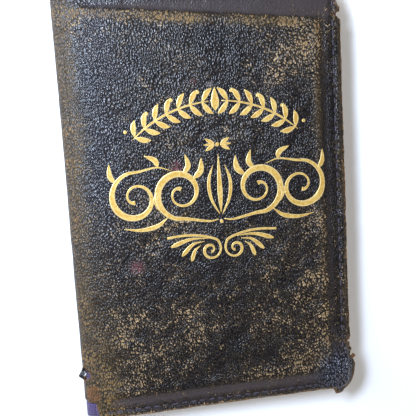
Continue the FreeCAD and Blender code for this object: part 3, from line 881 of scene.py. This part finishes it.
def make_lining():
    """The violet cloth, bonded to the hide and boards, in four pieces."""
    pieces = {
        "front_cover": ("front_cover_cloth", ["front_lining"]),
        "spine_front": ("spine_front_cloth", ["spine_front_lining", "spine_middle_lining"]),
        "spine_back": ("spine_back_cloth", ["spine_back_lining", "spine_middle_lining"]),
        "back_cover": ("back_cover_cloth", ["back_lining"]),
    }
    vs = centred_lines(EDGE_Y, 0, 0.8, 1.6, 8)
    cloths = bent_strips(pieces, CLOTH_GRID, vs, (lining_outline, lining_place), (CLOTH,))


def over(side, z):
    """Height on the front cover, or its mirror image on the back cover."""
    return z if side == "front" else TOP - z


def two_faced(side, x, y, outer_z, inner_z):
    """Outer and inner surfaces of a cover's flat piece, the outer one being nearer the outside."""
    outer = np.stack([x, y, over(side, outer_z)], -1)
    inner = np.stack([x, y, over(side, inner_z)], -1)
    return (outer, inner) if side == "front" else (inner, outer)


def pocket_outline(x, y):
    """Signed distance to a pocket's cut, with a shallow scoop in its mouth."""
    scoop = 1.2 * bump(y, 0, 16)
    return np.maximum(rounded_box(x, y, -40, POCKET_HIGH.x, POCKET_HIGH.y, CORNER), POCKET_LOW.x + scoop - x)


def make_pockets():
    """A flap in each cover, sewn down round three edges, with a turned hem at its mouth."""
    lift = CARD_HIGH.z - CARD_LOW.z
    past = 0.5
    xs = graded(POCKET_LOW.x - past, POCKET_HIGH.x + past, 0.5, 1.2, 8)
    ys = centred_lines(POCKET_HIGH.y, past, 0.5, 1.2, 8)
    for side in ("front", "back"):

        def place(x, y):
            inset = -rounded_box(x, y, -60, POCKET_HIGH.x, POCKET_HIGH.y, CORNER)
            raised = smooth(3.4, 5.6, inset)
            hem = bump(x, POCKET_LOW.x + 2.4, 0.35) * -0.12
            under = POCKET_HIGH.z - lift * raised - GAP
            belly = 0.04 * clouds(x, y, 10, 121)
            face = POCKET_HIGH.z - POCKET_THICK - (lift + 0.10 + hem - belly) * raised
            return two_faced(side, x, y, under, face)

        piece = slab(side + "_pocket_flap", xs, ys, pocket_outline, place, (SKIVER,))
        settle(piece, [side + "_pocket"], side + "_cover")


def sheet_outline(low_x, high_x, half_y, seed):
    """A page's cut: square at the fold, with rounded and slightly worn fore-edge corners."""
    radius = 3.0

    def outline(x, y):
        wear = 0.05 * noise(x, y, 2.5, seed)
        return np.maximum(rounded_box(x, y, low_x - 30, high_x, half_y, radius), low_x - x) + wear

    return outline


def fold_reach(height):
    """How far behind the fold line a sheet starts that lies at a height over it."""
    return max(abs(height), 0.05)


def quarter(x, height):
    """Path of a sheet that lies at a height over the fold line and turns down to it: new x, new height."""
    turn = np.clip((FOLD_X - x) / fold_reach(height), 0, 1) * math.pi / 2
    new_x = np.where(x < FOLD_X, FOLD_X - abs(height) * np.sin(turn), x)
    return new_x, height * np.where(x < FOLD_X, np.cos(turn), 1.0)


def page_lines(height):
    """Grid lines across a page that starts at the fold."""
    turn = np.linspace(FOLD_X - fold_reach(height), FOLD_X, 7)
    near = np.linspace(FOLD_X, FOLD_X + PAGE_BEND, 27)[1:]
    return np.concatenate([turn, near, graded(FOLD_X + PAGE_BEND, BLOCK_HIGH.x + 0.4, 1.0, 3.0, 5)[1:]])


def page_marks(x, y):
    """Browner at the three outer edges; ruled inside the margins."""
    from_head, from_side = BLOCK_HIGH.y - np.abs(y), BLOCK_HIGH.x - x
    age = (1 - smooth(0.2, 4.5, np.minimum(from_side, from_head) + 0.8 * noise(x, y, 5, 131))) * 0.9
    ruled = smooth(5.5, 6.0, from_head) * smooth(4.0, 4.5, from_side) * smooth(FOLD_X + 4.0, FOLD_X + 4.5, x)
    return np.stack([age, ruled, age * 0, age * 0], -1)


def paper_sheet(name, height, thick, seed, wave=0.0):
    """One leaf of the booklet from its fold to its fore-edge, at a height over the fold line."""
    random = np.random.default_rng(seed)
    high_x = BLOCK_HIGH.x + random.uniform(-0.25, 0.05)
    high_y = BLOCK_HIGH.y + random.uniform(-0.15, 0.05)

    def place(x, y):
        surfaces = []
        for offset in (thick / 2, -thick / 2):
            flat_x, z = quarter(x, height + offset)
            ripple = wave * noise(x, y, 14, seed + 1) * smooth(FOLD_X + 8, FOLD_X + 30, x)
            surfaces.append(np.stack([flat_x, y, MIDDLE + z + ripple], -1))
        return surfaces

    outline = sheet_outline(FOLD_X - fold_reach(height) - 0.2, high_x, high_y, seed)
    ys = centred_lines(high_y, 0.3, 0.9, 4.0, 6)
    return slab(name, page_lines(height), ys, outline, place, (PAPER,), page_marks)


def join(name, pieces):
    """Several meshes as one object."""
    bpy.ops.object.select_all(action="DESELECT")
    for piece in pieces:
        piece.select_set(True)
    bpy.context.view_layer.objects.active = pieces[0]
    bpy.ops.object.join()
    pieces[0].name = pieces[0].data.name = name
    return pieces[0]


def make_pages():
    """The booklet's paper: a block of leaves on either side, and the leaves that turn."""
    leaves = 9
    pitch = (BLOCK_HIGH.z - BLOCK_LOW.z) / leaves
    for side, sign in (("front", 1), ("back", -1)):
        sheets = []
        for number in range(leaves):
            height = sign * (BLOCK_LOW.z - MIDDLE + pitch * (number + 0.5))
            sheets.append(paper_sheet(f"{side}_sheet", height, pitch * 0.72, 200 + number + 20 * (sign > 0)))
        block = join(side + "_leaf_block", sheets)
        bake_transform(block)
        settle(block, [side + "_leaves"])
    for number in range(1, 6):
        low, high = box_mm(f"leaf_{number}")
        height = (low.z + high.z) / 2 - MIDDLE
        leaf = paper_sheet(f"turning_leaf_{number}", height, (high.z - low.z) * 0.5, 300 + number, wave=0.02)
        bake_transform(leaf)
        settle(leaf, [f"leaf_{number}"])


def make_cards():
    """The booklet's card cover: one half in each pocket, and its rounded back round the fold."""
    clear = 0.03
    past = 0.3
    xs = graded(CARD_LOW.x - past, CARD_HIGH.x + past, 0.8, 3.0, 5)
    ys = centred_lines(CARD_HIGH.y, past, 0.8, 3.0, 5)
    outline = sheet_outline(CARD_LOW.x, CARD_HIGH.x, CARD_HIGH.y, 151)
    for side in ("front", "back"):

        def place(x, y):
            dip = 0.02 * noise(x, y, 12, 141)
            return two_faced(side, x, y, CARD_HIGH.z - clear + dip, CARD_LOW.z + clear + dip)

        piece = slab(side + "_card", xs, ys, outline, place, (CARD,))
        settle(piece, [side + "_booklet_card"], side + "_cover")
    radius = FOLD_X - BACK_LOW.x
    flattened = 0.86

    def round_back(turn, y):
        surfaces = []
        for reach in (radius - (CARD_HIGH.z - CARD_LOW.z), radius):
            height = MIDDLE + reach * np.sin(turn) * flattened
            surfaces.append(np.stack([FOLD_X - reach * np.cos(turn), y, height], -1))
        return surfaces

    turns = np.linspace(-1.05, 1.05, 24)
    ys = centred_lines(BACK_HIGH.y, 0, 1.0, 3.0, 5)
    piece = slab("card_back", turns, ys, lambda turn, y: np.abs(turn) - 2.0, round_back, (CARD,))
    settle(piece, ["booklet_spine_card"], "spine_middle")


def tube_faces(rings, around):
    """Faces of a closed tube whose points run ring by ring."""
    faces = []
    for ring in range(rings - 1):
        for step in range(around):
            a, b = ring * around + step, ring * around + (step + 1) % around
            faces.append((a, b, b + around, a + around))
    faces.append(tuple(reversed(range(around))))
    faces.append(tuple(range((rings - 1) * around, rings * around)))
    return faces


def gather(parts):
    """The points and faces of many small meshes as those of one."""
    points, faces = [], []
    for made, linked in parts:
        faces += [tuple(i + len(points) for i in face) for face in linked]
        points += made
    return points, faces


def stitch_mesh(middle, along, up, seed):
    """Points and faces of one stitch: a short thread, thickest in the middle and sunk at its ends."""
    random = np.random.default_rng(seed)
    lean = random.uniform(-0.10, 0.10)
    along = along * math.cos(lean) + np.cross(up, along) * math.sin(lean)
    across = np.cross(up, along)
    length = STITCH_LENGTH * random.uniform(0.9, 1.06)
    points = []
    for share in np.linspace(-1, 1, STITCH_RINGS):
        thick = STITCH_WIDTH * math.sqrt(max(1 - share**4, 0.02))
        centre = middle + along * share * length / 2 - up * (0.24 * share**4)
        for step in range(STITCH_AROUND):
            turn = 2 * math.pi * step / STITCH_AROUND
            points.append(centre + thick * (across * math.cos(turn) * 0.5 + up * math.sin(turn) * 0.36))
    return points, tube_faces(STITCH_RINGS, STITCH_AROUND)


def stitch_line():
    """Middle and direction, on the flat cover, of each stitch of the row along three edges."""
    inset_u, inset_v = EDGE - STITCH_INSET, EDGE_Y - STITCH_INSET
    radius = CORNER - STITCH_INSET * 0.4
    start = SHOULDER - 6.0
    side = inset_u - radius - start
    arc = radius * math.pi / 2
    whole = 2 * (side + arc + inset_v - radius)
    count = round(whole / STITCH_PITCH)
    for number in range(count):
        run = (number + 0.5) * whole / count
        mirrored = run > whole / 2
        run = whole - run if mirrored else run
        if run < side:
            u, v, turn = start + run, -inset_v, 0.0
        elif run < side + arc:
            turn = (run - side) / radius
            u = inset_u - radius + radius * math.sin(turn)
            v = -inset_v + radius - radius * math.cos(turn)
        else:
            u, v, turn = inset_u, -inset_v + radius + run - side - arc, math.pi / 2
        yield u, (-v if mirrored else v), (-turn if mirrored else turn)


def make_stitching():
    """The thread of each cover: the row outside, and the same row inside on the pocket and lining."""
    clear_of_cut = 0.9
    lift = 0.04
    inner_start = SHOULDER + 8
    for side, sign in (("front", 1), ("back", -1)):
        up = np.array([0.0, 0.0, float(sign)])
        stitches = []
        for number, (u, v, turn) in enumerate(stitch_line()):
            at_u, at_v = np.array([sign * u]), np.array([v])
            if hide_outline(at_u, at_v)[0] > -clear_of_cut:
                continue
            seed = 1000 * (sign + 2) + number
            outer = hide_place(at_u, at_v)[0][0]
            direction = np.array([math.cos(turn), math.sin(turn), 0.0])
            if u < SHOULDER:
                direction = hide_place(at_u + sign * 0.5, at_v)[0][0] - outer
                direction /= np.linalg.norm(direction)
            worn_away = sign > 0 and worn_corner(u, v, 8.0) > 0.3
            if not worn_away:
                stitches.append(stitch_mesh(outer + up * lift, direction, up, seed))
            if u > inner_start:
                x = SPINE_CENTRE + u - SHOULDER
                on_pocket = x > POCKET_LOW.x + 1
                inner_z = POCKET_HIGH.z - POCKET_THICK if on_pocket else LINING_LOW.z
                inner = np.array([x, v, over(side, inner_z - 0.03)])
                stitches.append(stitch_mesh(inner, direction, -up, seed))
        points, faces = gather(stitches)
        grid = itertools.product(range(STITCH_RINGS), range(STITCH_AROUND))
        flat = [(0.36 * ring * MM, 0.2 * step * MM, 0) for ring, step in grid]
        piece = new_mesh(side + "_thread", points, faces, flat=flat * len(stitches), materials=(THREAD,))
        settle(piece, [side + "_stitching"], side + "_cover")


# ---------------------------------------------------------------- gilt ornament

# The ornament's axis, and the height of the foil over the leather.
ORNAMENT_X = 2.9
FOIL_LIFT = 0.03

# A stroke's section: how far across, how far up, and whether it is the pressed rim, which gets a painted
# highlight.
SECTION = ((-0.5, -0.06, 0), (-0.43, 0.06, 1), (-0.28, 0.03, 0), (0.0, 0.0, 0), (0.28, 0.03, 0),
           (0.43, 0.06, 1), (0.5, -0.06, 0))

# How the width of a round spot's short stroke runs from start to end.
SPOT = (0.3, 1.1, 1.3, 1.1, 0.3)


def curve(points, steps=10):
    """A smooth line through the given points."""
    points = [np.array(p, float) for p in points]
    ends = [2 * points[0] - points[1], *points, 2 * points[-1] - points[-2]]
    line = []
    for a, b, c, d in zip(ends, ends[1:], ends[2:], ends[3:]):
        for step in range(steps):
            t = step / steps
            cubic = (2 * a - 5 * b + 4 * c - d) * t**2 + (3 * b - a - 3 * c + d) * t**3
            line.append(0.5 * (2 * b + (c - a) * t + cubic))
    line.append(points[-1])
    return np.array(line)


def pen(line, widths):
    """A pressed stroke of foil along a line, through the given widths, draped on the leather."""
    width = np.interp(np.linspace(0, 1, len(line)), np.linspace(0, 1, len(widths)), widths)
    ahead = np.gradient(line, axis=0)
    ahead /= np.linalg.norm(ahead, axis=1)[:, None]
    points = []
    for middle, (ahead_x, ahead_y), wide in zip(line, ahead, width):
        for offset, lift, _ in SECTION:
            x, y = middle + np.array([-ahead_y, ahead_x]) * offset * max(wide, 0.05)
            points.append((x, y, lift * min(1.0, wide / 0.5)))
    points = np.array(points)
    u = SHOULDER + points[:, 0] - SPINE_CENTRE
    points[:, 2] += TOP + relief(u, points[:, 1]) + FOIL_LIFT
    return points.tolist(), [face[::-1] for face in tube_faces(len(line), len(SECTION))]


def foil_piece(name, node, strokes):
    """Pressed strokes as one piece, in place of a CAD foil node."""
    points, faces = gather(pen(line, widths) for line, widths in strokes)
    # The rim points carry the mark for the gilt's painted highlight.
    painted_highlight_rims = np.tile([rim for _, _, rim in SECTION], len(points) // len(SECTION))
    marks = np.stack([painted_highlight_rims, painted_highlight_rims * 0, painted_highlight_rims * 0, painted_highlight_rims * 0], -1)
    piece = new_mesh(name, points, faces, marks, materials=(GILT,))
    settle(piece, [node], "front_cover")


def arch_point(angle, radius):
    """A point of the arched band, its angle in degrees from upright."""
    turn = math.radians(angle)
    return np.array([ORNAMENT_X + radius * math.sin(turn), -6.1 + radius * math.cos(turn)])


def laurel():
    """Pairs of leaves along an arched stem, from the two feet up to a bud in the middle."""
    strokes = []
    spread, pitch, stem_radius, leaf_reach = 43.0, 5.9, 38.2, 3.96
    for side in (-1, 1):
        stem = [arch_point(side * a, stem_radius) for a in np.linspace(spread, 3.0, 30)]
        strokes.append((np.array(stem), (0.2, 0.7, 0.7, 0.6, 0.3)))
        for number in range(7):
            angle = spread - 1.5 - number * pitch
            root = arch_point(side * angle, stem_radius)
            for out in (-1, 1):
                tip = arch_point(side * (angle - 5.0), stem_radius + out * leaf_reach)
                belly = (root + tip) / 2 + (arch_point(side * angle, stem_radius + out) - root) * 0.6
                strokes.append((curve([root, belly, tip], 6), (0.25, 1.6, 1.85, 1.2, 0.1)))
            if number % 2 == 0:
                berry = arch_point(side * (angle + 1.2), stem_radius + 3.2)
                strokes.append((dot(berry), (0.3, 1.0, 1.15, 1.0, 0.3)))
    top = arch_point(0, stem_radius)
    bud = curve([top + (0, -3.0), top, top + (0, 4.2)], 8)
    return [*strokes, (bud, (0.2, 2.4, 2.8, 1.8, 0.1))]


def dot(centre):
    """A short level line, for a round spot of foil."""
    return np.array([np.add(centre, (reach, 0)) for reach in (-0.55, -0.3, 0.0, 0.3, 0.55)])


def mirrored(points, side):
    """Points given as distances out from the ornament's axis, on one side of it."""
    return [(ORNAMENT_X + side * x, y) for x, y in points]


def both_sides(shapes):
    """Strokes on either side of the ornament's axis, each from its points, curve steps and widths."""
    strokes = []
    for side in (-1, 1):
        strokes += [(curve(mirrored(points, side), steps), widths) for points, steps, widths in shapes]
    return strokes


def small_mark():
    """Two sprays of leaves with a spot between them."""
    y = 18.8
    shapes = []
    for lift in (-1, 1):
        leaf = [(0.9, y + 0.1 * lift), (2.4, y + lift), (3.9, y + 1.9 * lift)]
        shapes.append((leaf, 6, (0.2, 1.1, 1.3, 0.9, 0.1)))
    shapes.append(([(0.9, y), (2.6, y), (4.4, y)], 6, (0.2, 0.8, 1.0, 0.7, 0.1)))
    return [*both_sides(shapes), (dot((ORNAMENT_X, y)), SPOT)]


def coil(centre, start, turns):
    """Points of a spiral about a centre, from its outer radius inwards, starting at an angle in degrees."""
    points = []
    for share in np.linspace(0, 1, 22):
        turn = math.radians(start + turns * 360 * share)
        reach = 8.2 * (1 - 0.84 * share**1.1)
        points.append((centre[0] + reach * math.cos(turn), centre[1] + reach * math.sin(turn)))
    return points


def flourish():
    """A wide foliate scroll: on each side two coils that turn opposite ways, with leaves off their stems."""
    inner = [(0.9, -4.6), (4.0, -5.0), *coil((12.4, 4.4), -100, 1.55)]
    outer = [(15.2, 11.8), (19.3, 13.0), *coil((26.4, 4.0), 100, -1.5)]
    shapes = [
        (inner, 5, (0.3, 1.2, 1.9, 2.3, 2.1, 1.6, 1.1, 0.8, 0.65, 0.8, 1.5)),
        (outer, 5, (0.2, 0.9, 1.5, 2.2, 2.0, 1.5, 1.1, 0.8, 0.65, 0.8, 1.4)),
        ([(17.0, -2.8), (20.4, -5.2), (25.4, -6.0), (30.6, -5.2)], 10, (0.2, 1.1, 1.6, 1.3, 0.8, 0.1)),
    ]
    for leaf, wide in (
        ([(8.4, 8.6), (5.8, 11.0), (5.4, 15.0)], 1.9),
        ([(11.4, 10.4), (9.6, 12.8), (10.4, 16.4)], 1.7),
        ([(19.0, 12.9), (19.8, 15.2), (23.0, 16.8)], 1.7),
        ([(32.2, 9.0), (33.7, 11.4), (33.8, 15.0)], 1.6),
        ([(19.2, 5.6), (20.4, 2.8), (19.4, -0.6)], 1.3),
    ):
        shapes.append((leaf, 7, (0.2, wide, wide * 1.1, wide * 0.8, 0.1)))
    petal = [(0.5, -3.0), (2.9, 2.0), (3.4, 7.4), (1.9, 12.4)]
    shapes.append((petal, 10, (0.3, 0.9, 1.2, 1.0, 0.1)))
    bud = curve([(ORNAMENT_X, -2.6), (ORNAMENT_X, 4.0), (ORNAMENT_X, 15.8)])
    return [*both_sides(shapes), (bud, (0.2, 1.2, 1.8, 1.3, 0.1)), (dot((ORNAMENT_X, -5.4)), SPOT)]


def scroll(side):
    """Half of the scroll at the foot: a long line that rolls up into a volute, and three rays."""
    centre_x, centre_y = 4.0, -14.2
    line = [(17.6, -9.3), (12.0, -8.9), (7.0, -9.4)]
    for share in np.linspace(0, 1, 17):
        turn = math.radians(62 - 500 * share)
        radius = 3.75 * (1 - 0.84 * share**0.85)
        line.append((centre_x - radius * math.cos(turn), centre_y + radius * math.sin(turn)))
    widths = (0.75, 0.8, 0.8, 0.7, 0.65, 0.85, 1.0, 0.95, 0.8, 0.65, 0.6, 1.0)
    strokes = [(curve(mirrored(line, side), 6), widths)]
    for ray, wide in (
        ([(4.6, -10.4), (10.4, -10.3), (16.6, -12.2)], 1.45),
        ([(6.0, -11.3), (9.6, -12.0), (13.3, -15.4)], 1.4),
        ([(7.3, -12.6), (9.0, -14.0), (10.3, -17.3)], 1.3),
    ):
        strokes.append((curve(mirrored(ray, side), 9), (0.15, 0.35, 0.5, 0.7, 0.95, 1.2, wide, wide, 0.5)))
    return strokes


def make_gilt():
    """The five groups of gold ornament on the front."""
    foil_piece("gilt_laurel_arch", "gilt_arch", laurel())
    foil_piece("gilt_lozenges", "gilt_mark", small_mark())
    foil_piece("gilt_foliate_flourish", "gilt_flourish", flourish())
    foil_piece("gilt_volute_spine_side", "gilt_scroll_spine_side", scroll(-1))
    foil_piece("gilt_volute_fore_side", "gilt_scroll_fore_side", scroll(1))


def paint_cad_nodes():
    """Finishes of the CAD nodes that stay: the boards and the staples."""
    for name, material in (("front_board", BOARD), ("back_board", BOARD), ("booklet_staples", STEEL)):
        node = frame["nodes"][name]
        node.data.materials.clear()
        node.data.materials.append(material)


# ---------------------------------------------------------------- floor, light and camera


def make_stage():
    """A plain pale floor."""
    half = 1.6
    corners = [(-half, -half, 0), (half, -half, 0), (half, half, 0), (-half, half, 0)]
    mesh = bpy.data.meshes.new("floor")
    mesh.from_pydata(corners, [], [(0, 1, 2, 3)])
    n = Nodes("pale_floor")
    shade = n.mix(n.noise(n.solid(), 0.02, 2.0), (0.90, 0.90, 0.90, 1), (0.93, 0.93, 0.93, 1))
    mesh.materials.append(n.finish(shade, 0.9))
    new_object("floor", mesh)


def window_light(place, aim, size, power, colour):
    """A rectangle of soft light."""
    light = bpy.data.lights.new("window", "AREA")
    light.shape = "RECTANGLE"
    light.size, light.size_y = size
    light.energy = power
    light.color = colour
    lamp = new_object("window", light)
    lamp.location = place
    lamp.rotation_euler = (Vector(aim) - Vector(place)).to_track_quat("-Z", "Y").to_euler()


def broad_light(name, direction, strength, colour):
    """A very wide distant light, as from a large softbox, that leaves no glint."""
    light = bpy.data.lights.new(name, "SUN")
    light.angle = math.radians(36)
    light.energy = strength
    light.color = colour
    lamp = new_object(name, light)
    lamp.rotation_euler = Vector(direction).to_track_quat("Z", "Y").to_euler()
    lamp.visible_glossy = False


def make_light():
    """Soft studio light: a cool window over the spine's head, two low softboxes, and pale surroundings."""
    window_light(place=(-0.135, 0.085, 0.20), aim=(-0.03, 0.03, 0), size=(0.12, 0.06),
                 power=1.38, colour=(0.68, 0.80, 1.0))
    broad_light("low_right", direction=(0.85, -0.45, 0.34), strength=3.2, colour=(1.0, 0.96, 0.91))
    broad_light("low_left", direction=(-0.85, 0.50, 0.33), strength=1.9, colour=(1.0, 0.97, 0.93))
    world = bpy.data.worlds.new("studio")
    world.use_nodes = True
    tree = world.node_tree
    parts = tree.nodes.new("ShaderNodeSeparateXYZ")
    tree.links.new(tree.nodes.new("ShaderNodeTexCoord").outputs["Generated"], parts.inputs[0])

    # Bright at the horizon, nearly dark overhead.
    fade = tree.nodes.new("ShaderNodeMapRange")
    for socket, value in (("From Min", 0.0), ("From Max", 0.55), ("To Min", 0.68), ("To Max", 0.07)):
        fade.inputs[socket].default_value = value
    tree.links.new(parts.outputs["Z"], fade.inputs["Value"])
    background = tree.nodes["Background"]
    background.inputs["Color"].default_value = (0.985, 0.985, 1.0, 1)
    tree.links.new(fade.outputs["Result"], background.inputs["Strength"])
    bpy.context.scene.world = world
    bpy.context.scene.view_settings.view_transform = "Standard"


# The camera's place in metres, its right and its view, in the frame, and its focal length in millimetres.
CAMERA_PLACE = (-0.0420, 0.0341, 0.2319)
CAMERA_RIGHT = Vector((0.9801, -0.0586, 0.1896))
CAMERA_AHEAD = Vector((0.1788, -0.1533, -0.9719))
FOCAL = 63.2


def make_camera():
    """Over the spine and head of the closed cover, looking down on its front."""
    data = bpy.data.cameras.new("camera")
    data.sensor_width = 36
    data.lens = FOCAL
    data.clip_start, data.clip_end = 0.01, 10
    camera = new_object("camera", data)
    back = -CAMERA_AHEAD.normalized()
    up = back.cross(CAMERA_RIGHT).normalized()
    camera.matrix_world = Matrix((up.cross(back), up, back)).transposed().to_4x4()
    camera.location = CAMERA_PLACE
    bpy.context.scene.camera = camera


make_hide()
make_torn_flap()
make_lining()
make_pockets()
make_pages()
make_cards()
make_stitching()
make_gilt()
paint_cad_nodes()
make_stage()
make_light()
make_camera()
